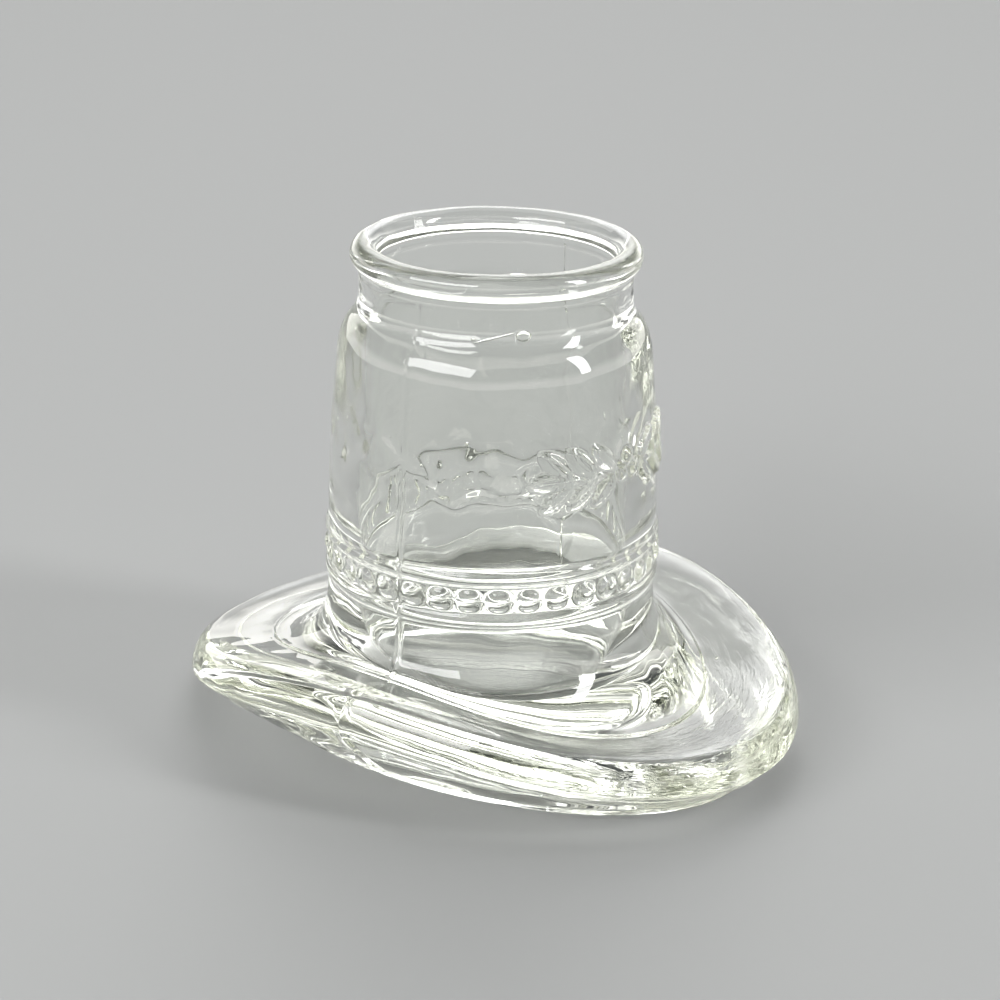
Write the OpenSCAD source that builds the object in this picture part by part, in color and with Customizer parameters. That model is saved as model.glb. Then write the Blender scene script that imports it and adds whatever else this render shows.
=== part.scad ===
// A clear moulded glass hat: an open container that stands on the foot under its brim.
// The front of the hat faces -Y, the mouth opens upwards and the foot rests on Z = 0.
// The glass is one moulding. Its regions are modelled as solids that meet face to face.

/* [Crown] */
// Outer diameter of the crown at the hat band
crown_d = 43.1; // [39:0.1:47]
// Height of the crown between the hat band and the shoulder
crown_h = 23.4; // [18:0.1:30]
// Inward lean of the crown just above the hat band, in degrees
crown_foot_lean = 0.4; // [0:0.1:2]
// Inward lean of the crown where the shoulder starts, in degrees
crown_top_lean = 6; // [3:0.1:10]
// Thickness of the glass wall at the hat band
wall_t = 4; // [3:0.1:5]

/* [Shoulder, neck and lip] */
// Step inwards from the top of the crown to the neck
shoulder_step = 2.65; // [1.5:0.05:4]
// Radius of the rounded shoulder
shoulder_r = 7.5; // [5:0.1:10]
// Radius of the hollow curve between the shoulder and the neck
neck_fillet_r = 4; // [2:0.1:6]
// Straight height of the neck below the lip
neck_h = 3.8; // [2:0.1:8]
// Thickness of the glass wall at the neck
neck_t = 2.25; // [1.8:0.05:3]
// Thickness of the round bead that forms the lip
lip_d = 3.4; // [3.2:0.1:5]

/* [Cavity] */
// Radius of the curve that leads from the mouth into the cavity
mouth_curve_r = 4; // [2:0.1:6]
// Radius of the curve under the shoulder, inside
cavity_shoulder_r = 8; // [5:0.1:10]
// Thickness of the base under the cavity floor
base_t = 6; // [4:0.1:7]
// Radius of the rounded corner between the cavity wall and its floor
floor_corner_r = 3.5; // [2:0.1:6]

/* [Hat band] */
// Height of the hat band, over both ridges
band_h = 7.5; // [6.5:0.1:10]
// Height of each half-round ridge along the edges of the band
ridge_w = 2; // [1:0.1:2.4]
// How far the ridges stand out
ridge_h = 0.4; // [0.2:0.05:1]
// Number of beads around the band
bead_count = 36; // [20:1:38]
// How far the beads stand out
bead_h = 0.6; // [0.3:0.05:1]
// Gap between the row of beads and each ridge
bead_gap = 0.2; // [0.1:0.05:0.5]

/* [Skirt] */
// Height of the straight collar between the band and the flare of the skirt
collar_h = 1.8; // [1.3:0.1:3]
// Reach of the flare beyond the crown, at the front
flare_front = 9; // [7:0.1:11]
// Reach of the flare beyond the crown, at the back
flare_back = 10.3; // [8:0.1:12]
// Reach of the flare beyond the crown, at the sides
flare_side = 2.9; // [2:0.1:4]
// Height of the flare at the sides
flare_side_h = 5.5; // [4:0.1:7]
// Small upright step where the skirt meets the brim
skirt_step = 0.35; // [0.1:0.05:0.8]
// Height of the line where the skirt meets the brim, at the front and back
line_end_z = 7.4; // [6:0.1:9]
// Height of the line where the skirt meets the brim, at the sides
line_side_z = 13.8; // [12:0.1:16]

/* [Brim] */
// Length of the brim, front to back
brim_l = 87.4; // [80:0.1:95]
// Width of the brim, side to side
brim_w = 70.6; // [66:0.1:80]
// Height of the outermost edge at the front
edge_front_z = 4.5; // [3:0.1:6]
// Height of the outermost edge at the back
edge_back_z = 1.8; // [1.4:0.1:4]
// Height of the outermost edge at the upturned sides
edge_side_z = 10.9; // [8:0.1:13]
// Rise from the outermost edge to the crest of the brim
crest_h = 4.3; // [3:0.1:5]
// Reach of the rounded edge, from the crest outwards
edge_round = 2.8; // [2:0.1:4]
// Fullness of the underside between the edge and the foot: 1 is flat and 2 is a quarter of an oval
keel_fullness = 1.15; // [1:0.05:2]

/* [Foot] */
// Distance of the foot inside the edge of the brim, at the front and back
foot_inset_end = 4.7; // [3:0.1:8]
// Distance of the foot inside the edge of the brim, at the sides
foot_inset_side = 10.9; // [8:0.1:14]
// Depth of the shallow recess that the foot rim surrounds
foot_h = 0.8; // [0.5:0.1:1.2]
// Width of the foot rim
foot_rim_w = 5; // [3:0.1:9]

/* [Hidden] */

glass = [0.80, 0.86, 0.84];
round_steps = 96;
sweep_steps = 96;
arc_steps = 8;
bead_steps = 96;
seat_steps = 360;

// Heights, stacked upwards from the foot
floor_z = foot_h + base_t;
skirt_top_z = line_side_z + flare_side_h;
band_z = skirt_top_z + collar_h;
crown_z = band_z + band_h;
shoulder_z = crown_z + crown_h;

// The crown is an arc of a large circle, between its two leans
crown_r = crown_d / 2;
crown_arc_r = crown_h / (sin(crown_top_lean) - sin(crown_foot_lean));
crown_arc_mid = [crown_r - crown_arc_r * cos(crown_foot_lean),
                 crown_z - crown_arc_r * sin(crown_foot_lean)];
crown_top_r = crown_arc_mid[0] + crown_arc_r * cos(crown_top_lean);

// The shoulder turns outwards-in to its steepest lean, and the neck fillet turns back to upright
neck_r = crown_top_r - shoulder_step;
steepest_lean = acos((neck_fillet_r + shoulder_r * cos(crown_top_lean) - shoulder_step)
                     / (neck_fillet_r + shoulder_r));
shoulder_mid = [crown_top_r - shoulder_r * cos(crown_top_lean),
                shoulder_z - shoulder_r * sin(crown_top_lean)];
fillet_z = shoulder_mid[1] + shoulder_r * sin(steepest_lean);
neck_z = fillet_z + neck_fillet_r * sin(steepest_lean);
lip_seat_z = neck_z + neck_h;

// The lip is a round bead whose inside is flush with the mouth
mouth_r = neck_r - neck_t;
lip_r = lip_d / 2;
lip_mid_r = mouth_r + lip_r;
lip_mid_z = lip_seat_z + sqrt(lip_r ^ 2 - (neck_r - lip_mid_r) ^ 2);
lip_seat_angle = -acos((neck_r - lip_mid_r) / lip_r);

// Two arcs lead from the mouth out to the cavity wall, and one leads from the wall to the floor
cavity_r = crown_r - wall_t;
floor_r = cavity_r - floor_corner_r;
cavity_lean = acos(1 - (cavity_r - mouth_r) / (mouth_curve_r + cavity_shoulder_r));
cavity_top_z = neck_z - (mouth_curve_r + cavity_shoulder_r) * sin(cavity_lean);

// The beads fill the groove between the two ridges
bead_d = band_h - 2 * ridge_w - 2 * bead_gap;
bead_z = band_z + band_h / 2;
bead_ball_r = ((bead_d / 2) ^ 2 + bead_h ^ 2) / (2 * bead_h);

// A chord and its rise give the radius of a ridge
ridge_r = ((ridge_w / 2) ^ 2 + ridge_h ^ 2) / (2 * ridge_h);

line_mid_z = (line_end_z + line_side_z) / 2;

function mix(a, b, s) = a + (b - a) * s;
function ease(s) = s * s * (3 - 2 * s);
function arc(mid, r, from, to) =
    [for (i = [0 : arc_steps]) let (a = mix(from, to, i / arc_steps)) mid + r * [cos(a), sin(a)]];

// Plan angle t runs from the front, around the +X side
function at(t, r, z) = [r * sin(t), -r * cos(t), z];
function oval(t, end, side) = 1 / norm([cos(t) / end, sin(t) / side]);
function saddle(t, front, back, side) =
    side * sin(t) ^ 2 + (front + back) / 2 * cos(t) ^ 2 + (front - back) / 2 * cos(t);

// The line where the skirt meets the brim, the edge of the brim, and the outline of the foot
function line_r(t) = oval(t, crown_r + (cos(t) > 0 ? flare_front : flare_back), crown_r + flare_side);
function line_z(t) = saddle(t, line_end_z, line_end_z, line_side_z);
function edge_r(t) = oval(t, brim_l / 2, brim_w / 2);
function edge_z(t) = saddle(t, edge_front_z, edge_back_z, edge_side_z);
function foot_r(t, inset) =
    oval(t, brim_l / 2 - foot_inset_end - inset, brim_w / 2 - foot_inset_side - inset);

// The skirt leaves the collar upright and reaches the brim level, like a quarter of an oval
function skirt_point(t, s) =
    at(t, mix(crown_r, line_r(t), 1 - cos(90 * s)), mix(skirt_top_z, line_z(t) + skirt_step, sin(90 * s)));

// The brim runs from the skirt out to its crest, over the rounded edge, and under to the foot
function brim_top(t, s) =
    at(t, mix(line_r(t), edge_r(t) - edge_round, s), mix(line_z(t), edge_z(t) + crest_h, ease(s)));
function brim_edge(t, s) =
    at(t, edge_r(t) - edge_round * (1 - sin(90 * s)), edge_z(t) + crest_h * cos(90 * s));
function brim_under(t, s) =
    at(t, mix(foot_r(t, 0), edge_r(t), cos(90 * s) ^ (2 / keel_fullness)),
       mix(edge_z(t), foot_h, sin(90 * s) ^ (2 / keel_fullness)));

plan_angles = [for (i = [0 : sweep_steps - 1]) 360 * i / sweep_steps];

// A closed solid through rings of points, from the top ring down, with a centre point in each end
module loft(rings, top, bottom) {
    n = len(rings[0]);
    last = (len(rings) - 1) * n;
    points = concat([for (ring = rings) each ring], [top, bottom]);
    top_i = len(points) - 2;
    bottom_i = len(points) - 1;
    sides = [for (a = [0 : n : last - n], i = [0 : n - 1]) let (j = (i + 1) % n)
             each [[a + i, a + j, a + n + j], [a + i, a + n + j, a + n + i]]];
    ends = [for (i = [0 : n - 1]) let (j = (i + 1) % n)
            each [[top_i, j, i], [bottom_i, last + i, last + j]]];
    polyhedron(points, concat(sides, ends));
}

// The wall of the crown in section, from the foot of the hat band to the lip's seat
module wall_profile() {
    outside = concat(
        [[crown_r, band_z]],
        arc(crown_arc_mid, crown_arc_r, crown_foot_lean, crown_top_lean),
        arc(shoulder_mid, shoulder_r, crown_top_lean, steepest_lean),
        arc([neck_r + neck_fillet_r, neck_z], neck_fillet_r, 180 + steepest_lean, 180),
        [[neck_r, lip_seat_z]]);
    inside = concat(
        [[mouth_r, lip_seat_z]],
        arc([mouth_r + mouth_curve_r, neck_z], mouth_curve_r, 180, 180 + cavity_lean),
        arc([cavity_r - cavity_shoulder_r, cavity_top_z], cavity_shoulder_r, cavity_lean, 0),
        [[cavity_r, band_z]]);
    polygon(concat(outside, inside));
}

// The slice of the wall between two heights
module wall_ring(low, high) {
    rotate_extrude($fn = round_steps)
        intersection() {
            wall_profile();
            translate([0, low]) square([crown_d, high - low]);
        }
}

// What the skirt and the brim surround: the lower end of the cavity, and its floor down to the recess
module bore() {
    rotate_extrude($fn = round_steps)
        polygon(concat(
            [[0, 0], [floor_r, 0]],
            arc([floor_r, floor_z + floor_corner_r], floor_corner_r, -90, 0),
            [[cavity_r, crown_z], [0, crown_z]]));
}

// A half-round ridge that lies against the band
module band_ridge(z) {
    half_angle = asin(ridge_w / 2 / ridge_r);
    rotate_extrude($fn = round_steps)
        polygon(arc([crown_r + ridge_h - ridge_r, z], ridge_r, -half_angle, half_angle));
}

module lip() {
    color(glass)
        rotate_extrude($fn = round_steps)
            polygon(concat(
                [[mouth_r, lip_seat_z]],
                arc([lip_mid_r, lip_mid_z], lip_r, 180, lip_seat_angle)));
}

module neck() {
    color(glass) wall_ring(fillet_z, lip_seat_z);
}

module shoulder() {
    color(glass) wall_ring(shoulder_z, fillet_z);
}

module crown_wall() {
    color(glass) wall_ring(crown_z, shoulder_z);
}

module hat_band() {
    color(glass) wall_ring(band_z, crown_z);
}

module upper_band_ridge() {
    color(glass) band_ridge(crown_z - ridge_w / 2);
}

module lower_band_ridge() {
    color(glass) band_ridge(band_z + ridge_w / 2);
}

module band_beads() {
    color(glass)
        difference() {
            for (i = [0 : bead_count - 1])
                rotate([0, 0, 360 * i / bead_count])
                    translate([crown_r + bead_h - bead_ball_r, 0, bead_z])
                        sphere(bead_ball_r, $fn = bead_steps);
            translate([0, 0, band_z]) cylinder(band_h, r = crown_r, $fn = seat_steps);
        }
}

module cavity_floor() {
    color(glass) translate([0, 0, foot_h]) cylinder(base_t, r = floor_r, $fn = round_steps);
}

module skirt() {
    collar = [for (t = plan_angles) at(t, crown_r, band_z)];
    flare = [for (s = [0 : 1 / 8 : 1]) [for (t = plan_angles) skirt_point(t, s)]];
    step = [for (t = plan_angles) at(t, line_r(t), line_z(t))];
    color(glass)
        difference() {
            loft(concat([collar], flare, [step]), [0, 0, band_z], [0, 0, line_mid_z]);
            bore();
        }
}

module brim() {
    rings = concat(
        [for (s = [0 : 1 / 4 : 1]) [for (t = plan_angles) brim_top(t, s)]],
        [for (s = [1 / 6 : 1 / 6 : 1]) [for (t = plan_angles) brim_edge(t, s)]],
        [for (s = [1 / 6 : 1 / 6 : 1]) [for (t = plan_angles) brim_under(t, s)]]);
    color(glass)
        difference() {
            loft(rings, [0, 0, line_mid_z], [0, 0, foot_h]);
            bore();
        }
}

module foot_rim() {
    color(glass)
        linear_extrude(foot_h)
            difference() {
                polygon([for (t = plan_angles) let (p = at(t, foot_r(t, 0), 0)) [p[0], p[1]]]);
                polygon([for (t = plan_angles) let (p = at(t, foot_r(t, foot_rim_w), 0)) [p[0], p[1]]]);
            }
}

lip();
neck();
shoulder();
crown_wall();
hat_band();
upper_band_ridge();
lower_band_ridge();
band_beads();
cavity_floor();
skirt();
brim();
foot_rim();
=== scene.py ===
# %% [markdown]
# # A clear glass hat, moulded in one piece
# The hat stands on its brim and its crown is open at the top, so it holds small things.
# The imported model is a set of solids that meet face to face. Clear glass can't be shown that way:
# light would bend and glint at every hidden face between two solids. So this lesson models the
# whole moulding as one closed skin, on the sizes of those solids, and lets the skin stand for them.

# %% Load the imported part
import math

import bmesh
import bpy
import numpy as np
from mathutils import Matrix, Vector


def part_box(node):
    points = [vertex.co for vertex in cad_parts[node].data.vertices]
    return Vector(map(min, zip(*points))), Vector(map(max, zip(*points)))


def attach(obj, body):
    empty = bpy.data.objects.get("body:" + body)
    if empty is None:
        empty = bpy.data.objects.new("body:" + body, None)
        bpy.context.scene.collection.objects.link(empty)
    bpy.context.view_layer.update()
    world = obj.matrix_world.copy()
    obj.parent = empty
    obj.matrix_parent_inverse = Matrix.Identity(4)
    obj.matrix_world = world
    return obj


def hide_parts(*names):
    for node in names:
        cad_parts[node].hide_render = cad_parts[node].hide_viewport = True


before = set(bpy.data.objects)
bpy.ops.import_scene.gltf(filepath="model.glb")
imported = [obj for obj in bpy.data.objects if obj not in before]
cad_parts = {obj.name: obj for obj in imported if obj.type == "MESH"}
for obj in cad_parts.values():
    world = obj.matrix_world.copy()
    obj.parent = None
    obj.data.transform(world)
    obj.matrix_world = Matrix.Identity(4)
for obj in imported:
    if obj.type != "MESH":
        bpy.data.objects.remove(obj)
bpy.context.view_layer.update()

print("CAD nodes:", ", ".join(sorted(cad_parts)))

# %% [markdown]
# ## Sizes
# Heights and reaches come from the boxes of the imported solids. What no box shows, such as the wall
# of the cavity or the roundness of an edge, is written here once, as the part has it.

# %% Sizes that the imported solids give
MM = 0.001


def top(node):
    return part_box(node)[1].z


def foot(node):
    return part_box(node)[0].z


def reach(node):
    """How far a solid reaches from the axis, at the side (X) and at the end (Y)."""
    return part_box(node)[1].x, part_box(node)[1].y


crown_r = reach("hat_band")[0]
lip_out_r = reach("lip")[0]
ridge_h = reach("upper_band_ridge")[0] - crown_r
bead_h = reach("band_beads")[0] - crown_r
line_side_r, line_back_r = reach("skirt")
line_front_r = -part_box("skirt")[0].y
edge_side_r, edge_end_r = reach("brim")
foot_side_r, foot_end_r = reach("foot_rim")
floor_r = reach("cavity_floor")[0]

lip_top_z = top("lip")
lip_seat_z = foot("lip")
fillet_z = top("shoulder")
shoulder_z = top("crown_wall")
crown_z = foot("crown_wall")
band_z = foot("hat_band")
line_end_z = foot("skirt")
floor_z = top("cavity_floor")
foot_h = top("foot_rim")
ridge_w = top("upper_band_ridge") - foot("upper_band_ridge")
bead_d = top("band_beads") - foot("band_beads")
bead_z = (top("band_beads") + foot("band_beads")) / 2
print(f"crown {2000 * crown_r:.1f} mm, brim {2000 * edge_end_r:.1f} x {2000 * edge_side_r:.1f} mm")

# %% Sizes that no box shows
lip_r = 1.7 * MM
neck_t = 2.25 * MM
neck_fillet_r = 4 * MM
shoulder_r = 7.5 * MM
crown_foot_lean = 0.4
crown_top_lean = 6
wall_t = 4 * MM
mouth_curve_r = 4 * MM
cavity_shoulder_r = 8 * MM
bead_count = 36
collar_h = 1.8 * MM
skirt_step = 0.35 * MM
step_round = 0.22 * MM
step_flare = 0.03 * MM
line_side_z = 13.8 * MM
edge_front_z = 4.5 * MM
edge_back_z = 1.8 * MM
edge_side_z = 10.9 * MM
crest_h = 4.3 * MM
edge_round = 2.8 * MM
keel_fullness = 1.15
foot_rim_w = 5 * MM
foot_edge_r = 0.5 * MM

mouth_r = lip_out_r - 2 * lip_r
lip_mid_r = mouth_r + lip_r
lip_mid_z = lip_top_z - lip_r
neck_r = mouth_r + neck_t
cavity_r = crown_r - wall_t
floor_corner_r = cavity_r - floor_r
skirt_top_z = band_z - collar_h
print(f"mouth {2000 * mouth_r:.1f} mm, cavity {2000 * cavity_r:.1f} mm inside")

# %% [markdown]
# ## Drawing a half section and spinning it
# A mould for such a hat is turned on a lathe before its oval brim is cut, so the model starts as a
# turning too. A plane is merged to one vertex, the vertex is extruded along the half section, and a
# Screw modifier turns the section about the axis. Spin would do the same, many times slower. Each
# vertex remembers its row in the section and its place around the axis, so that later steps can pick
# a ring or a column.

# %% Helpers for the half section
COLUMNS = 360
MERGE = 0.001 * MM
SEAM_TURNS = (-85, 95)
SEAM_SQUEEZE = 0.5
SAME_COLUMN = 0.1


def arc(mid, radius, start, end, steps):
    """Points on an arc after its start, as (distance from the axis, height). Angles are in degrees."""
    turns = np.radians(np.linspace(start, end, steps + 1)[1:])
    return [(mid[0] + radius * math.cos(a), mid[1] + radius * math.sin(a)) for a in turns]


def straight(start, end, steps):
    """Points on a straight line after its start."""
    return [tuple(np.add(start, np.subtract(end, start) * i / steps)) for i in range(1, steps + 1)]


def keep(piece, name, kind, values):
    """Stores one value per vertex on the mesh."""
    layer = piece.data.attributes.get(name) or piece.data.attributes.new(name, kind, "POINT")
    layer.data.foreach_set("value", values)


def kept(piece, name):
    """Reads one value per vertex back from the mesh."""
    values = np.zeros(len(piece.data.vertices))
    piece.data.attributes[name].data.foreach_get("value", values)
    return values


def places(piece):
    """The vertices' places, one row each."""
    co = np.zeros(3 * len(piece.data.vertices))
    piece.data.vertices.foreach_get("co", co)
    return co.reshape(-1, 3)


def plan_angle(co):
    """Degrees around the axis from the front of the hat, which faces -Y, towards +X."""
    return np.degrees(np.arctan2(co[:, 0], -co[:, 1]))


def pick(edit_mesh, vertices):
    """Selects these vertices of a mesh in edit mode, and nothing else."""
    bpy.ops.mesh.select_all(action="DESELECT")
    for vertex in vertices:
        vertex.select_set(True)
    edit_mesh.select_flush_mode()


def squeeze_seams(piece, first_outer_row):
    """Turns the columns beside each mould seam towards it, so that a narrow ridge can be raised there."""
    bpy.ops.object.mode_set(mode="EDIT")
    edit_mesh = bmesh.from_edit_mesh(piece.data)
    row_layer, turn_layer = edit_mesh.verts.layers.float["row"], edit_mesh.verts.layers.float["turn"]
    outer = [vertex for vertex in edit_mesh.verts if vertex[row_layer] >= first_outer_row]
    for seam in SEAM_TURNS:
        for side in (-1, 1):
            pick(edit_mesh, [vertex for vertex in outer
                             if abs(vertex[turn_layer] - seam - side) < SAME_COLUMN])
            # In the background a plus turns clockwise, seen from above, so this turns towards the seam
            bpy.ops.transform.rotate(value=math.radians(side * SEAM_SQUEEZE), orient_axis="Z",
                                     center_override=(0, 0, 0))
    bpy.ops.object.mode_set(mode="OBJECT")


def spin_section(name, points, first_row):
    """Extrudes a vertex along the half section and spins it into a skin of rows and columns."""
    bpy.ops.object.select_all(action="DESELECT")
    bpy.ops.mesh.primitive_plane_add(size=MM)
    piece = bpy.context.object
    piece.name = name
    bpy.ops.object.mode_set(mode="EDIT")
    bpy.ops.mesh.select_all(action="SELECT")
    bpy.ops.mesh.merge(type="CENTER")
    place = Vector((0, 0, 0))
    for i, (r, z) in enumerate(points):
        step = Vector((0, -r, z)) - place
        if i == 0:
            bpy.ops.transform.translate(value=step)
        else:
            bpy.ops.mesh.extrude_region_move(TRANSFORM_OT_translate={"value": step})
        place = Vector((0, -r, z))
    bpy.ops.object.mode_set(mode="OBJECT")
    drawn = places(piece)[:, 1:] * (-1, 1)
    gaps = np.linalg.norm(drawn[:, None] - np.array(points)[None], axis=2)
    keep(piece, "row", "FLOAT", first_row + gaps.argmin(axis=1).astype(float))
    turning = piece.modifiers.new("turning", "SCREW")
    turning.axis = "Z"
    turning.angle = math.tau
    turning.steps = COLUMNS
    turning.render_steps = COLUMNS
    bpy.ops.object.modifier_apply(modifier=turning.name)
    bpy.ops.object.mode_set(mode="EDIT")
    bpy.ops.mesh.select_all(action="SELECT")
    bpy.ops.mesh.remove_doubles(threshold=MERGE)
    bpy.ops.object.mode_set(mode="OBJECT")
    keep(piece, "turn", "FLOAT", plan_angle(places(piece)))
    print(f"{name}: {len(points)} rows, {len(piece.data.vertices)} vertices")
    return piece


# %% [markdown]
# ## The crown
# The crown is round all over: a deep cavity with a rounded corner at its floor, a mouth under a
# rolled lip, a neck, a soft shoulder, a wall that leans in, and a hat band between two half-round
# ridges. Its half section is a chain of arcs and straight lines. Most of them run smoothly into the
# next, and the mould has the few corners too, under the lip and beside the ridges, so no bevel is
# needed afterwards. The rows lie close together where the ornament and the beads will be raised, and
# further apart elsewhere. Under the lip a thin step marks where the ring of the mould met its body.

# %% The inside, from the cavity floor up to the lip
cavity_lean = math.degrees(math.acos(1 - (cavity_r - mouth_r) / (mouth_curve_r + cavity_shoulder_r)))
crown_arc_r = (shoulder_z - crown_z) / (
    math.sin(math.radians(crown_top_lean)) - math.sin(math.radians(crown_foot_lean)))
crown_arc_mid = (crown_r - crown_arc_r * math.cos(math.radians(crown_foot_lean)),
                 crown_z - crown_arc_r * math.sin(math.radians(crown_foot_lean)))
crown_top_r = crown_arc_mid[0] + crown_arc_r * math.cos(math.radians(crown_top_lean))
steepest_lean = math.degrees(math.acos(
    (neck_fillet_r + shoulder_r * math.cos(math.radians(crown_top_lean)) - (crown_top_r - neck_r))
    / (neck_fillet_r + shoulder_r)))
neck_z = fillet_z + neck_fillet_r * math.sin(math.radians(steepest_lean))
cavity_top_z = neck_z - (mouth_curve_r + cavity_shoulder_r) * math.sin(math.radians(cavity_lean))

FLOOR_STEPS = 6
settle_low_z = 34 * MM
settle_high_z = 44.5 * MM
inside = [(0, floor_z)]
inside += straight(inside[-1], (floor_r, floor_z), FLOOR_STEPS)
inside += arc((floor_r, floor_z + floor_corner_r), floor_corner_r, -90, 0, 9)
inside += straight(inside[-1], (cavity_r, settle_low_z), 9)
inside += straight(inside[-1], (cavity_r, settle_high_z), 16)
inside += straight(inside[-1], (cavity_r, cavity_top_z), 4)
inside += arc((cavity_r - cavity_shoulder_r, cavity_top_z), cavity_shoulder_r, 0, cavity_lean, 6)
inside += arc((mouth_r + mouth_curve_r, neck_z), mouth_curve_r, 180 + cavity_lean, 180, 6)
inside += straight(inside[-1], (mouth_r, lip_mid_z), 4)
print(f"inside: {len(inside)} rows, cavity wall up to {1000 * cavity_top_z:.1f} mm")

# %% The outside, from the lip down to the skirt
parting_z = lip_seat_z - 0.9 * MM
parting_step = 0.12 * MM
ornament_low_z = 33.6 * MM
ornament_high_z = 46.4 * MM


def crown_turn(z):
    """The place on the crown's large arc, in degrees, at a height."""
    return math.degrees(math.asin((z - crown_arc_mid[1]) / crown_arc_r))


def ridge(low_z):
    """A half-round ridge on the band, from its upper edge down."""
    round_r = ((ridge_w / 2) ** 2 + ridge_h ** 2) / (2 * ridge_h)
    half = math.degrees(math.asin(ridge_w / 2 / round_r))
    return arc((crown_r + ridge_h - round_r, low_z + ridge_w / 2), round_r, half, -half, 8)


lip_end = -math.degrees(math.acos((neck_r - lip_mid_r) / lip_r))
outside = arc((lip_mid_r, lip_mid_z), lip_r, 180, lip_end, 22)
outside += straight(outside[-1], (neck_r, parting_z), 3)
outside += [(neck_r + parting_step / 2, parting_z - parting_step), (neck_r, parting_z - 3 * parting_step)]
outside += straight(outside[-1], (neck_r, neck_z), 3)
outside += arc((neck_r + neck_fillet_r, neck_z), neck_fillet_r, 180, 180 + steepest_lean, 7)
outside += arc((crown_top_r - shoulder_r * math.cos(math.radians(crown_top_lean)),
                shoulder_z - shoulder_r * math.sin(math.radians(crown_top_lean))),
               shoulder_r, steepest_lean, crown_top_lean, 8)
outside += arc(crown_arc_mid, crown_arc_r, crown_top_lean, crown_turn(ornament_high_z), 7)
outside += arc(crown_arc_mid, crown_arc_r, crown_turn(ornament_high_z), crown_turn(ornament_low_z), 34)
outside += arc(crown_arc_mid, crown_arc_r, crown_turn(ornament_low_z), crown_foot_lean, 6)
outside += ridge(crown_z - ridge_w)
outside += straight(outside[-1], (crown_r, band_z + ridge_w), 14)
outside += ridge(band_z)
outside += straight(outside[-1], (crown_r, skirt_top_z), 3)

INSIDE_ROWS = len(inside)
LOWER_ROWS = len(inside + outside) - 1
crown = spin_section("glass_hat", inside + outside, 0)
squeeze_seams(crown, INSIDE_ROWS)

# %% [markdown]
# ## The skirt, brim and foot
# Below the band the hat turns from round to oval, and the brim rises at the sides like a saddle.
# The section is drawn as it is at the back, where the brim is lowest, and spun. Then every ring is
# narrowed across the hat by Resize, each by its own amount. Last, a weight that grows towards the
# sides and the front is painted on the skin, and a Displace modifier lifts the points by it.

# %% The lower section, with each row's width and lift
def mix(a, b, share):
    return a + (b - a) * share


def ease(share):
    return share * share * (3 - 2 * share)


SKIRT_STEPS = 18
LINE_STEPS = 4
TOP_STEPS = 20
EDGE_STEPS = 14
UNDER_STEPS = 14
TOP_START = 0.02
line_lift = line_side_z - line_end_z
edge_lift = edge_side_z - edge_back_z
front_lift = edge_front_z - edge_back_z

# Each row holds its reach at the back, front and side, its height at the back, and how far it is
# lifted at the side and at the front
lower = [(crown_r, crown_r, crown_r, skirt_top_z, 0, 0)]
for i in range(1, SKIRT_STEPS + 1):
    turn = math.pi / 2 * i / SKIRT_STEPS
    out, down = 1 - math.cos(turn), math.sin(turn)
    reaches = [mix(crown_r, line_r - step_round, out)
               for line_r in (line_back_r, line_front_r, line_side_r)]
    lower.append((*reaches, mix(skirt_top_z, line_end_z + skirt_step, down), line_lift * down, 0))
line_step = arc((-step_round, -step_round), step_round, 90, 0, LINE_STEPS) + [(step_flare, -skirt_step)]
for aside, drop in line_step:
    lower.append((line_back_r + aside, line_front_r + aside, line_side_r + aside,
                  line_end_z + skirt_step + drop, line_lift, 0))
for i in range(1, TOP_STEPS + 1):
    out = mix(TOP_START, 1, i / TOP_STEPS)
    end_r, side_r = edge_end_r - edge_round, edge_side_r - edge_round
    lower.append((mix(line_back_r, end_r, out), mix(line_front_r, end_r, out),
                  mix(line_side_r, side_r, out), mix(line_end_z, edge_back_z + crest_h, ease(out)),
                  mix(line_lift, edge_lift, ease(out)), front_lift * ease(out)))
for i in range(1, EDGE_STEPS + 1):
    turn = math.pi / 2 * i / EDGE_STEPS
    inset = edge_round * (1 - math.sin(turn))
    lower.append((edge_end_r - inset, edge_end_r - inset, edge_side_r - inset,
                  edge_back_z + crest_h * math.cos(turn), edge_lift, front_lift))
for i in range(1, UNDER_STEPS + 1):
    turn = math.pi / 2 * i / UNDER_STEPS
    out = math.cos(turn) ** (2 / keel_fullness)
    down = math.sin(turn) ** (2 / keel_fullness)
    end_r = mix(foot_end_r, edge_end_r, out)
    lower.append((end_r, end_r, mix(foot_side_r, edge_side_r, out),
                  mix(edge_back_z, foot_h, down), edge_lift * (1 - down), front_lift * (1 - down)))
FOOT_ROW = len(lower)
# The foot has a rounded outer edge, a flat ring to stand on and a step up into the recess
for inset, z in ((0, foot_edge_r), (0.3 * foot_edge_r, 0.15 * foot_edge_r), (foot_edge_r, 0),
                 (foot_rim_w / 2, 0), (foot_rim_w - foot_edge_r, 0),
                 (foot_rim_w, 0.4 * foot_edge_r), (foot_rim_w + foot_edge_r, foot_h - 0.2 * foot_edge_r),
                 (foot_rim_w + 2 * foot_edge_r, foot_h)):
    lower.append((foot_end_r - inset, foot_end_r - inset, foot_side_r - inset, z, 0, 0))
for share in (0.75, 0.5, 0.25, 0.05):
    end_r = (foot_end_r - foot_rim_w) * share
    lower.append((end_r, end_r, (foot_side_r - foot_rim_w) * share, foot_h, 0, 0))
lower.append((0, 0, 0, foot_h, 0, 0))
print(f"skirt, brim and foot: {len(lower)} rows")

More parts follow.
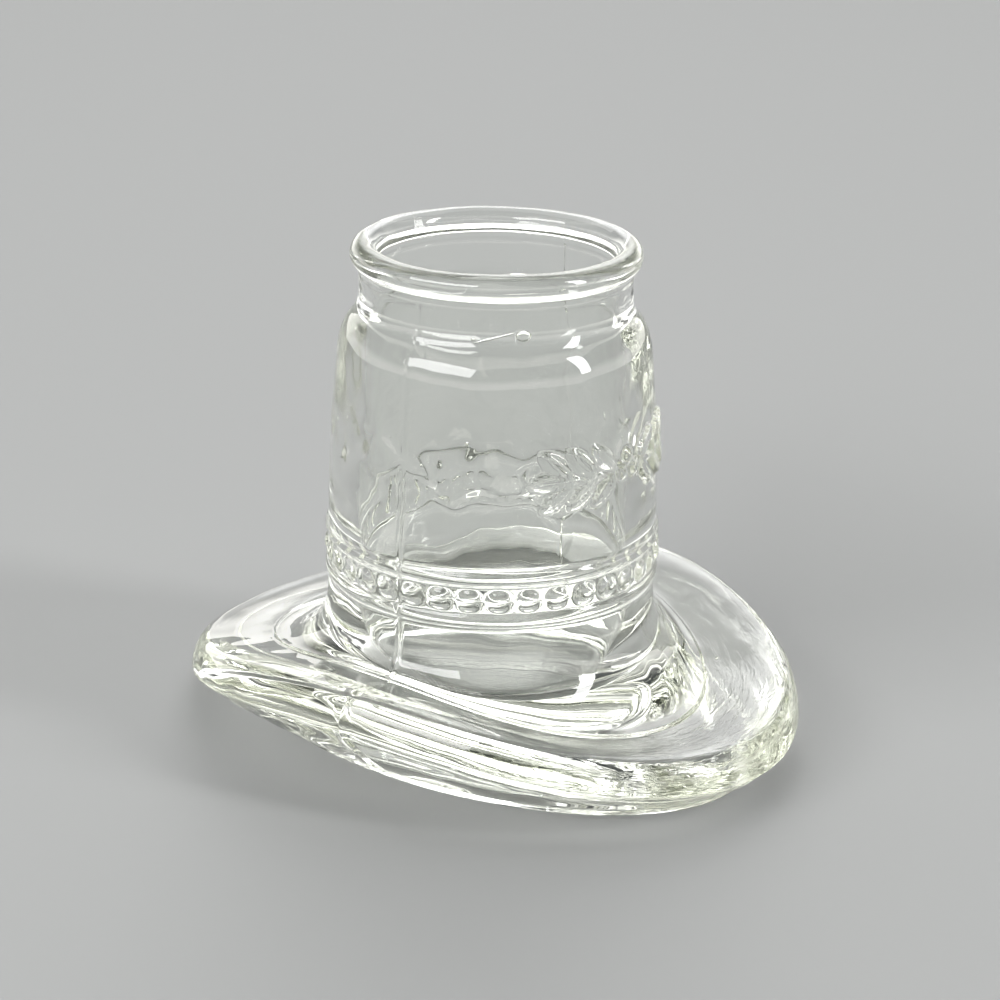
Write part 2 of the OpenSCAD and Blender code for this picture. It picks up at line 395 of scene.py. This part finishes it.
# %% Spin the lower section, make its rings oval and lift its sides
def paint(piece, name, weights):
    """Paints a weight from 0 to 1 on the vertices, as a vertex group."""
    group = piece.vertex_groups.new(name=name)
    for i in np.flatnonzero(weights > 1e-4):
        group.add([int(i)], float(min(weights[i], 1)), "REPLACE")


def press(piece, name, weights, depth, direction="NORMAL", texture=None):
    """Moves each vertex by its own share of a depth, with a Displace modifier that is applied."""
    paint(piece, name, weights)
    push = piece.modifiers.new(name, "DISPLACE")
    push.vertex_group = name
    push.strength = depth
    push.direction = direction
    push.mid_level = 0.5 if texture else 0
    push.texture = texture
    bpy.context.view_layer.objects.active = piece
    bpy.ops.object.modifier_apply(modifier=name)
    piece.vertex_groups.remove(piece.vertex_groups[name])


brim = spin_section("brim_turning", [(row[0], row[3]) for row in lower], LOWER_ROWS)
squeeze_seams(brim, LOWER_ROWS)
bpy.ops.object.mode_set(mode="EDIT")
edit_mesh = bmesh.from_edit_mesh(brim.data)
row_layer = edit_mesh.verts.layers.float["row"]
rings = {}
for vertex in edit_mesh.verts:
    rings.setdefault(round(vertex[row_layer]) - LOWER_ROWS, []).append(vertex)
for i, (back, front, side, *_) in enumerate(lower):
    front_half = [vertex for vertex in rings[i] if vertex.co.y < 0]
    for vertices, factors in ((rings[i], (side / back if back else 1, 1, 1)),
                              (front_half, (1, front / back if back else 1, 1))):
        if factors != (1, 1, 1):
            pick(edit_mesh, vertices)
            bpy.ops.transform.resize(value=factors, center_override=(0, 0, 0))
bpy.ops.object.mode_set(mode="OBJECT")

lifts = np.array([row[4:] for row in lower])[np.rint(kept(brim, "row")).astype(int) - LOWER_ROWS]
turns = np.radians(plan_angle(places(brim)))
lift = lifts[:, 0] * np.sin(turns) ** 2 + lifts[:, 1] * np.cos(turns) * (1 + np.cos(turns)) / 2
press(brim, "lift", lift / edge_lift, edge_lift, "Z")
print(f"brim lifted by up to {1000 * lift.max():.1f} mm at the sides")

# %% [markdown]
# ## One closed skin
# The two turnings share the ring at the top of the skirt. They are joined, the doubled ring is
# merged, and the normals are recalculated while the skin is still plain: all of it is one closed
# surface, so the inner wall of the cavity faces the air inside, as it should in glass.

# %% Join the crown and the brim
bpy.ops.object.select_all(action="DESELECT")
brim.select_set(True)
crown.select_set(True)
bpy.context.view_layer.objects.active = crown
bpy.ops.object.join()
hat = bpy.context.object
bpy.ops.object.mode_set(mode="EDIT")
bpy.ops.mesh.select_all(action="SELECT")
bpy.ops.mesh.remove_doubles(threshold=MERGE)
bpy.ops.mesh.normals_make_consistent(inside=False)
bpy.ops.object.mode_set(mode="OBJECT")
bpy.ops.object.shade_smooth()
print(f"{hat.name}: {len(hat.data.vertices)} vertices, {len(hat.data.polygons)} faces")

# %% [markdown]
# ## Raised work on the outside
# The mould raises a row of beads between the ridges, a sprig of leaves on the front of the crown,
# and two fine seams where its halves met. Each is painted as a weight on the skin and pressed out
# along the normals, which gives the soft edges that glass takes from a mould. Separate beads joined
# by a Boolean would leave sharp creases there.

# %% Beads
def read_skin():
    """The skin's places, rows and columns as they are now."""
    return places(hat), np.rint(kept(hat, "row")).astype(int), kept(hat, "turn")


co, row, turn = read_skin()
outer = row >= INSIDE_ROWS
bead_pitch = 360 / bead_count
bead_spread = 0.07
off_centre = (turn + bead_pitch / 2) % bead_pitch - bead_pitch / 2
bead_number = np.rint((turn - off_centre) / bead_pitch)
from_bead = np.hypot(np.radians(off_centre) * crown_r, co[:, 2] - bead_z) / (bead_d / 2)
cap = np.maximum(1 - from_bead ** 2, 0) ** 0.75
bead_weight = np.where(outer, cap, 0) * (1 - bead_spread + bead_spread * np.sin(2.4 * bead_number))
press(hat, "beads", bead_weight, bead_h)
print(f"beads: {bead_count}, {1000 * bead_d:.1f} mm across and {1000 * bead_h:.1f} mm high")

# %% Sprig of leaves on the front of the crown
sprig_z = 40.2 * MM
sprig_h = 0.7 * MM
leaf_l = 5.2 * MM
leaf_w = 2.3 * MM
stem_w = 0.8 * MM
berry_d = 1.9 * MM
stem_l = 21 * MM
stem_wave = 0.35 * MM
leaf_lean = 42
leaf_base = 0.3 * MM
leaf_places = (2.6 * MM, 6.2 * MM, 9.8 * MM)
end_leaf_place = 10.2 * MM
berry_places = ((0, 1.35 * MM), (-1.2 * MM, -0.6 * MM), (1.2 * MM, -0.6 * MM))


def leaf(across, up, base, lean):
    """The height, from 0 to 1, of a leaf that starts at base and points along lean, in degrees."""
    c, s = math.cos(math.radians(lean)), math.sin(math.radians(lean))
    along = ((across - base[0]) * c + (up - base[1]) * s) / leaf_l
    aside = (-(across - base[0]) * s + (up - base[1]) * c) / (leaf_w / 2)
    width = np.sqrt(np.maximum(np.sin(np.pi * np.clip(along, 0, 1) ** 0.8), 0))
    dome = np.maximum(1 - (aside / np.maximum(width, 1e-6)) ** 2, 0) ** 0.5 * np.minimum(1, 2.5 * width)
    vein = 0.3 * np.exp(-(aside / 0.28) ** 2)
    return np.where((along > 0) & (along < 1), np.maximum(dome - vein, 0), 0)


def berry(across, up, mid):
    """The height, from 0 to 1, of a round berry."""
    return np.sqrt(np.maximum(1 - (np.hypot(across - mid[0], up - mid[1]) / (berry_d / 2)) ** 2, 0))


co, row, turn = read_skin()
across = np.radians(turn) * crown_r
up = co[:, 2] - sprig_z
stem_up = stem_wave * np.cos(across / (2.1 * MM))
stem = np.maximum(1 - ((up - stem_up) / (stem_w / 2)) ** 2, 0) * (np.abs(across) < stem_l / 2) * 0.75
sprig = stem
for side in (-1, 1):
    for place in leaf_places:
        for lean in (leaf_lean, -leaf_lean):
            base = (side * place, leaf_base * (1 if lean > 0 else -1))
            sprig = np.maximum(sprig, leaf(across, up, base, lean if side > 0 else 180 - lean))
    sprig = np.maximum(sprig, leaf(across, up, (side * end_leaf_place, 0), 0 if side > 0 else 180))
for mid in berry_places:
    sprig = np.maximum(sprig, berry(across, up, mid))
on_crown = outer & (co[:, 2] > ornament_low_z) & (co[:, 2] < ornament_high_z) & (np.abs(turn) < 60)
press(hat, "sprig", np.where(on_crown, sprig, 0), sprig_h)
print(f"sprig: {2 * len(leaf_places) * 2 + 2} leaves, {1000 * sprig_h:.1f} mm high")

# %% Mould seams
seam_h = 0.25 * MM
seam_share_above_band = 0.55
co, row, turn = read_skin()
seam = np.zeros(len(turn))
for place in SEAM_TURNS:
    seam = np.where(np.abs(turn - place) < SAME_COLUMN, 1, seam)
seam *= outer & (co[:, 2] < parting_z) & (row < LOWER_ROWS + FOOT_ROW)
seam *= np.where(co[:, 2] > crown_z, seam_share_above_band, 1)
press(hat, "seams", seam, seam_h)
print("seams at", SEAM_TURNS, "degrees from the front")

# %% [markdown]
# ## Uneven glass
# Glass that was pressed and blown is never as true as its mould on the inside. The cavity's wall
# swells and thins over a centimetre or so, and a wavy step runs round it where the glass settled
# before it was blown, with small folds beside it. The underside of the brim keeps faint flow lines
# that follow its edge, and the front of the brim has wrinkles where the mould chilled it. Light shows
# all of this. The swelling is pressed in by Displace modifiers with a Clouds texture, and the
# wrinkles, which are finer than the mesh, are left to the material.

# %% Uneven cavity and settle wave
MOUTH_ROWS = 9
SWELL_SIZE, SWELL_DEPTH = 11 * MM, 0.55 * MM
FOLD_SIZE, FOLD_DEPTH = 4.5 * MM, 0.4 * MM
FOLD_Z, FOLD_SPAN = 40 * MM, 4.5 * MM
WAVE_EDGE, WAVE_DEPTH = 0.35 * MM, 0.3 * MM
# In millimetres, as the wave itself
WAVE_MID = 39


def clouds(name, size):
    """A cloudy texture whose lumps have this size."""
    texture = bpy.data.textures.new(name, "CLOUDS")
    texture.noise_scale = size
    texture.noise_depth = 1
    return texture


co, row, turn = read_skin()
wall_rows = (row > FLOOR_STEPS + 1) & (row < INSIDE_ROWS - MOUTH_ROWS)
press(hat, "uneven_wall", np.where(wall_rows, 1.0, 0.0), SWELL_DEPTH, "NORMAL",
      clouds("uneven_wall", SWELL_SIZE))
by_wave = np.exp(-((co[:, 2] - FOLD_Z) / FOLD_SPAN) ** 2)
press(hat, "settle_folds", np.where(wall_rows, by_wave, 0), FOLD_DEPTH, "NORMAL",
      clouds("settle_folds", FOLD_SIZE))

around = np.radians(turn)
wave = 2.6 * np.sin(3 * around + 0.6) + 1.5 * np.sin(7 * around + 1) + 0.6 * np.sin(17 * around)
wave_z = (WAVE_MID + wave) * MM
settle = 1 / (1 + np.exp(-(wave_z - co[:, 2]) / WAVE_EDGE))
above_corner = wall_rows & (co[:, 2] > floor_z + floor_corner_r)
press(hat, "settle_wave", np.where(above_corner, settle, 0), -WAVE_DEPTH)
print("uneven wall, settle folds and settle wave pressed in")

# %% Flow lines under the brim and an uneven outside
FLOW_DEPTH = 0.12 * MM
RIPPLE_SIZE, RIPPLE_DEPTH = 7 * MM, 0.2 * MM
top_row = LOWER_ROWS + SKIRT_STEPS + LINE_STEPS + 1
edge_row = top_row + TOP_STEPS
under_row = edge_row + EDGE_STEPS
share = (row - under_row) / UNDER_STEPS
drift = 0.3 * np.sin(2 * around + 0.5) + 0.12 * np.sin(5 * around)
flow = 0.5 + 0.5 * np.sin(2 * np.pi * (2.6 * share + drift))
on_under = (row > under_row) & (row < under_row + UNDER_STEPS - 1)
press(hat, "flow_under", np.where(on_under, flow, 0), FLOW_DEPTH)
smooth_outside = outer & (row < LOWER_ROWS + FOOT_ROW - 1)
press(hat, "uneven_outside", np.where(smooth_outside, 1.0, 0.0), RIPPLE_DEPTH, "NORMAL",
      clouds("uneven_outside", RIPPLE_SIZE))
print("flow lines and ripples pressed in")

# %% Where the mould chilled the brim
WRINKLE_L = 5 * MM
WRINKLE_W = 1 * MM
# In degrees from the front of the hat, and then in rows of the brim
CHILL_TURN, CHILL_SPREAD = 6, 40
CHILL_START, CHILL_END, CHILL_PAST_EDGE = 4, 8, 3
front_share = np.exp(-((turn - CHILL_TURN) / CHILL_SPREAD) ** 2)
brim_start = np.clip((row - top_row) / CHILL_START, 0, 1)
brim_end = np.clip((under_row + CHILL_PAST_EDGE - row) / CHILL_END, 0, 1)
keep(hat, "chill", "FLOAT", front_share * (brim_start * brim_end))
front_section = np.array([(front, z + raised) for _, front, _, z, _, raised in lower])
across_rows = np.append(0, np.hypot(*np.diff(front_section, axis=0).T).cumsum())
keep(hat, "wrinkle_along", "FLOAT", around * edge_end_r / WRINKLE_L)
keep(hat, "wrinkle_across", "FLOAT", across_rows[np.maximum(row - LOWER_ROWS, 0)] / WRINKLE_W)
print("chill wrinkles kept to the front of the brim")

# %% [markdown]
# ## Seeds and blisters
# Cheap glass keeps small bubbles of air: round seeds, a flat blister by the shoulder and a drawn-out
# air line. Each is a sphere that is flattened or stretched and set inside the glass. The glass lies
# outside a bubble, so its faces are flipped to point into the air, and it joins the skin as a void.

# %% Bubbles in the wall and the brim
# Each bubble has its plan angle in degrees, distance from the axis, height, lean in degrees, and its
# half sizes through the wall, along it and upwards, in millimetres
bubbles = (
    (-41, 16.6, 57.9, 0, 0.25, 0.95, 0.75),
    (-53, 16.6, 57.7, 17, 0.15, 2.7, 0.16),
    (-62, 16.6, 57.4, 0, 0.2, 0.22, 0.26),
    (-62, 19.6, 45, 0, 0.22, 0.22, 0.3),
    (-79, 19.4, 41.5, 0, 0.16, 0.16, 0.24),
    (-30, 19.8, 36.5, 0, 0.18, 0.2, 0.2),
    (24, 19.4, 49.5, 0, 0.2, 0.2, 0.3),
    (66, 19.7, 38, 0, 0.25, 0.3, 0.45),
    (128, 19.3, 47, 0, 0.2, 0.2, 0.28),
    (171, 19.8, 34.5, 0, 0.22, 0.22, 0.3),
    (-128, 19.5, 43, 0, 0.2, 0.24, 0.34),
    (-58, 24.5, 8.5, 0, 0.3, 0.5, 0.3),
    (-20, 34, 5.2, 0, 0.25, 0.6, 0.22),
    (38, 31, 6.4, 0, 0.22, 0.3, 0.22),
    (150, 33.5, 4.6, 0, 0.25, 0.4, 0.25),
)
bpy.ops.object.select_all(action="DESELECT")
voids = []
for turn_deg, out, z, lean, *half_sizes in bubbles:
    spot = math.radians(turn_deg)
    bpy.ops.mesh.primitive_uv_sphere_add(
        segments=14, ring_count=9, radius=MM, rotation=(0, -math.radians(lean), spot),
        location=(out * MM * math.sin(spot), -out * MM * math.cos(spot), z * MM))
    bubble = bpy.context.object
    bubble.scale = (half_sizes[1], half_sizes[0], half_sizes[2])
    bpy.ops.object.transform_apply(location=True, rotation=True, scale=True)
    bpy.ops.object.shade_smooth()
    bpy.ops.object.mode_set(mode="EDIT")
    bpy.ops.mesh.select_all(action="SELECT")
    bpy.ops.mesh.flip_normals()
    bpy.ops.object.mode_set(mode="OBJECT")
    voids.append(bubble)
for bubble in voids:
    bubble.select_set(True)
hat.select_set(True)
bpy.context.view_layer.objects.active = hat
bpy.ops.object.join()
triangles = sum(len(face.vertices) - 2 for face in hat.data.polygons)
print(f"{len(bubbles)} bubbles; the skin has {triangles} triangles")

# %% [markdown]
# ## Soda-lime glass
# The hat is common soda-lime glass, shaped in an iron mould and fire-polished at the lip. It is
# clear, with an index of refraction of 1.52 and a faint grey-green cast where it is thick, which
# comes from traces of iron. Its skin is glossy, with chill wrinkles where the hot glass first met
# the cold iron, which also dull it there, and with faint smudges from handling.

# %% The glass material
def linear(hex_colour):
    """An sRGB hex colour as linear red, green, blue and alpha."""
    channels = [int(hex_colour[i:i + 2], 16) / 255 for i in (1, 3, 5)]
    return [c / 12.92 if c <= 0.04045 else ((c + 0.055) / 1.055) ** 2.4 for c in channels] + [1]


def add_node(tree, kind, settings=None, links=None, **options):
    """Adds a node, sets its options and sockets, and links other nodes' outputs into it."""
    node = tree.nodes.new(kind)
    for name, value in options.items():
        setattr(node, name, value)
    for name, value in (settings or {}).items():
        node.inputs[name].default_value = value
    for name, output in (links or {}).items():
        tree.links.new(output, node.inputs[name])
    return node


WRINKLE_DEPTH = 0.22 * MM
CHILL_DULLNESS = 0.08
SMUDGE = 9 * MM
SMUDGE_DULLNESS = 0.05

glass = bpy.data.materials.new("soda_lime_glass")
glass.use_nodes = True
tree = glass.node_tree
tree.nodes.clear()
place = add_node(tree, "ShaderNodeTexCoord").outputs["Object"]
chill = add_node(tree, "ShaderNodeAttribute", attribute_name="chill").outputs["Fac"]
along, across = (add_node(tree, "ShaderNodeAttribute", attribute_name=name).outputs["Fac"]
                 for name in ("wrinkle_along", "wrinkle_across"))
way = add_node(tree, "ShaderNodeCombineXYZ", links={"X": along, "Y": across}).outputs["Vector"]
wrinkles = add_node(tree, "ShaderNodeTexNoise", {
    "Scale": 1, "Detail": 2, "Roughness": 0.5, "Distortion": 0.8}, {"Vector": way})
relief = add_node(tree, "ShaderNodeMath", links={0: wrinkles.outputs["Fac"], 1: chill},
                  operation="MULTIPLY")
bump = add_node(tree, "ShaderNodeBump", {"Strength": 1, "Distance": WRINKLE_DEPTH},
                {"Height": relief.outputs["Value"]})
smudges = add_node(tree, "ShaderNodeTexNoise", {"Scale": 1 / SMUDGE, "Detail": 4, "Roughness": 0.6},
                   {"Vector": place})
dull = add_node(tree, "ShaderNodeMapRange", {
    "From Min": 0.45, "From Max": 0.75, "To Min": 0, "To Max": SMUDGE_DULLNESS},
    {"Value": smudges.outputs["Fac"]})
dull_chill = add_node(tree, "ShaderNodeMath", {1: CHILL_DULLNESS}, {0: chill, 2: dull.outputs["Result"]},
                      operation="MULTIPLY_ADD")
surface = add_node(tree, "ShaderNodeBsdfPrincipled", {
    "Base Color": linear("#FDFEFC"), "IOR": 1.52, "Transmission Weight": 1},
    {"Roughness": dull_chill.outputs["Value"], "Normal": bump.outputs["Normal"]})
body = add_node(tree, "ShaderNodeVolumeAbsorption", {"Color": linear("#EEF1DF"), "Density": 10})
add_node(tree, "ShaderNodeOutputMaterial",
         links={"Surface": surface.outputs["BSDF"], "Volume": body.outputs["Volume"]})
hat.data.materials.clear()
hat.data.materials.append(glass)
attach(hat, "root")
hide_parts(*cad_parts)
print("glass on", hat.name)

# %% [markdown]
# ## Stage, light and camera
# Clear glass is drawn by what stands around it. A bright band low around the room lights up its rims
# and edges, the dim ceiling gives them something to stand out from, and the floor is plain and pale.
# The soft glow of a window behind the hat is mirrored in the cavity's floor and shows through the
# skirt as a bright patch. It is part of the room, because an area light there would have hard edges.
# In the thick brim light goes to and fro many times before it leaves, so long light paths are
# allowed: with short ones those parts would go black.

# %% Floor
bpy.ops.object.select_all(action="DESELECT")
bpy.ops.mesh.primitive_plane_add(size=4, location=(0, 0, -0.05 * MM))
floor = bpy.context.object
floor.name = "floor"
pale = bpy.data.materials.new("pale_matt_paper")
pale.use_nodes = True
pale.node_tree.nodes["Principled BSDF"].inputs["Base Color"].default_value = linear("#A8A9A8")
pale.node_tree.nodes["Principled BSDF"].inputs["Roughness"].default_value = 0.8
floor.data.materials.append(pale)
print("floor at the foot of the hat")

# %% Lights
# The glow behind the hat fades out this many degrees from its middle, where it is this bright
WINDOW_SPREAD = 24
WINDOW_GLOW = 1.6
ROOM_LIGHT = 2.3
HAT_MIDDLE = (0, 0, 30 * MM)

world = bpy.data.worlds.new("room")
bpy.context.scene.world = world
world.use_nodes = True
sky = world.node_tree
direction = add_node(sky, "ShaderNodeTexCoord").outputs["Generated"]
height = add_node(sky, "ShaderNodeSeparateXYZ", links={"Vector": direction}).outputs["Z"]
fade = add_node(sky, "ShaderNodeValToRGB", links={"Fac": height})
fade.color_ramp.elements[0].position = 0.12
fade.color_ramp.elements[0].color = linear("#FFFEFA")
fade.color_ramp.elements[1].position = 0.28
fade.color_ramp.elements[1].color = linear("#2B2D2F")
toward_window = Vector((0.695, 0.487, 0.53)).normalized()
facing = add_node(sky, "ShaderNodeVectorMath", {1: toward_window}, {0: direction},
                  operation="DOT_PRODUCT")
glow = add_node(sky, "ShaderNodeMapRange", {
    "From Min": math.cos(math.radians(WINDOW_SPREAD)), "From Max": 1, "To Min": 0, "To Max": WINDOW_GLOW},
    {"Value": facing.outputs["Value"]}, interpolation_type="SMOOTHSTEP")
lit = add_node(sky, "ShaderNodeVectorMath", links={0: fade.outputs["Color"], 1: glow.outputs["Result"]},
               operation="ADD")
sky.links.new(lit.outputs["Vector"], sky.nodes["Background"].inputs["Color"])
sky.nodes["Background"].inputs["Strength"].default_value = ROOM_LIGHT


def softbox(name, place, size, power):
    """A rectangular soft light that faces the hat."""
    bpy.ops.object.light_add(type="AREA", location=place)
    light = bpy.context.object
    light.name = name
    light.data.shape = "RECTANGLE"
    light.data.size, light.data.size_y = size
    light.data.energy = power
    light.rotation_euler = (Vector(HAT_MIDDLE) - Vector(place)).to_track_quat("-Z", "Y").to_euler()


softbox("window", (-1.5, 0.2, 0.9), (1.6, 0.5), 24)
softbox("front_strip", (0.5, -1.6, 0.8), (0.3, 1), 16)
softbox("back_panel", (0.7, 0.6, 1.6), (2.4, 1.8), 18)
bpy.context.scene.view_settings.view_transform = "Standard"
bpy.context.scene.cycles.max_bounces = 32
bpy.context.scene.cycles.transmission_bounces = 32
bpy.context.scene.cycles.glossy_bounces = 16
print("three soft lights and a glow behind, in a room that is bright at the horizon and dim above")

# %% Camera
view_turn = math.radians(-52.9)
view_tilt = math.radians(20.5)
view_roll = math.radians(1.09)
view_distance = 342 * MM
aim_z = 30.4 * MM
aim_aside = 0.99 * MM
forward = Vector((-math.sin(view_turn) * math.cos(view_tilt), math.cos(view_turn) * math.cos(view_tilt),
                  -math.sin(view_tilt)))
right = forward.cross(Vector((0, 0, 1))).normalized()
above = right.cross(forward)
axes = Matrix((right, above, -forward)).transposed() @ Matrix.Rotation(view_roll, 3, "Z")
stand = Vector((0, 0, aim_z)) + right * aim_aside - forward * view_distance
bpy.ops.object.camera_add(location=stand, rotation=axes.to_euler())
camera = bpy.context.object
camera.data.sensor_width = 36
camera.data.lens = 93.6
camera.data.clip_start = 0.01
bpy.context.scene.camera = camera
print("camera at", tuple(round(c, 3) for c in stand))
